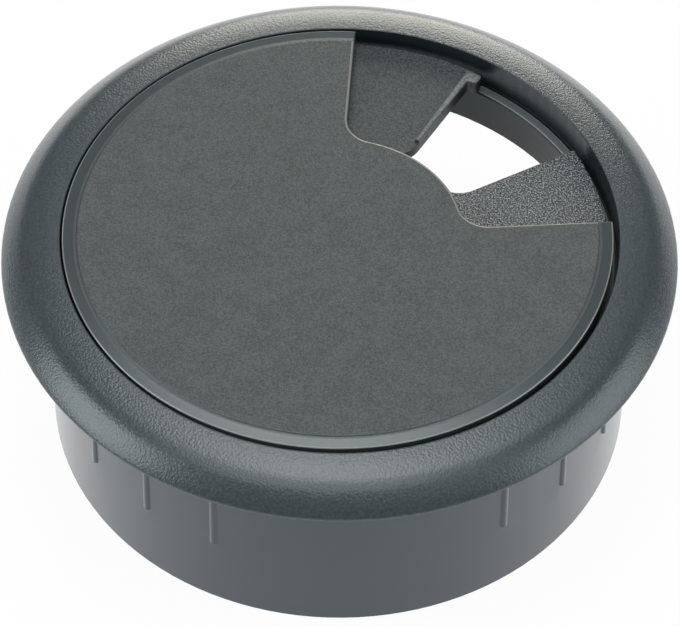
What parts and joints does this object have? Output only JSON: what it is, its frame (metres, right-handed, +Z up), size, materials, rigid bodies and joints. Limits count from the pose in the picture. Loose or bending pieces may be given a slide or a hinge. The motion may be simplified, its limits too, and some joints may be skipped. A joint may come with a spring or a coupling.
{
  "type": "desk cable grommet",
  "caption": "Round plastic cable grommet for a worktop hole: flanged liner ring with ribbed sleeve, drop-in notched cover and a turning shutter that sizes the cable opening.",
  "frame": {"origin": "on the ring's axis, at the worktop's upper face, which is the flange's underside", "axes": "+Z up out of the worktop along the ring's axis, -Y towards the viewer of the picture"},
  "size_m": [0.0688, 0.0688, 0.0259],
  "materials": {
    "liner_plastic": "dark grey, leather-grained flange, satin sleeve",
    "cover_plastic": "dark grey, fine matt field with a smooth border band",
    "shutter_plastic": "dark grey, leather-grained"
  },
  "bodies": {
    "ring": {"liner_ring": "liner_plastic", "cover_cap": "cover_plastic"},
    "shutter": {"rotary_shutter": "shutter_plastic"}
  },
  "joints": [
    {"name": "shutter_turn", "type": "hinge", "parent": "ring", "child": "shutter", "pos_m": [-0.0002, 0, 0], "axis": [0, 0, 1], "range_deg": [-28, 24.5]}
  ]
}
